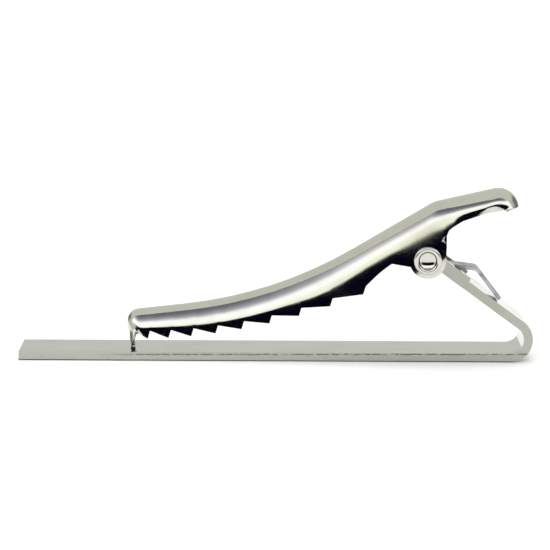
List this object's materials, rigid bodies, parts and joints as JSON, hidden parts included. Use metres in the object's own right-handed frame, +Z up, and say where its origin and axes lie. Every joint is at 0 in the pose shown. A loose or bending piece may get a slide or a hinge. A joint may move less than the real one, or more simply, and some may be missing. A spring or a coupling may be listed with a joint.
{
  "type": "toothed spring clip on a flat bar",
  "caption": "Toothed metal spring clip: a sprung jaw hinged over a flat bar that folds back into its arm, pressed open at a thumb lever.",
  "frame": {"origin": "middle of the bar's length and width, on the underside that the clip rests on", "axes": "+X along the bar towards the fold and the thumb lever, +Y across the bar along the hinge pin, +Z up"},
  "size_m": [0.055, 0.0074, 0.0185],
  "materials": {
    "bar_plating": "bright nickel plate, sheared edges duller",
    "jaw_plating": "bright nickel plate over a pressed sheet",
    "pin_plating": "bright nickel plate, rolled ends",
    "spring_plating": "thin bright plate over blued spring strip"
  },
  "bodies": {
    "base": {"base_bar": "bar_plating", "hinge_pin": "pin_plating", "leaf_spring": "spring_plating"},
    "jaw": {"toothed_jaw": "jaw_plating"}
  },
  "joints": [
    {"name": "jaw_hinge", "type": "hinge", "parent": "base", "child": "jaw", "pos_m": [0.0161, 0, 0.0111], "axis": [0, 1, 0], "range_deg": [0, 45], "stiffness_Nm_per_rad": 0.12, "springref_deg": -20.05, "deforming": ["leaf_spring"]}
  ]
}
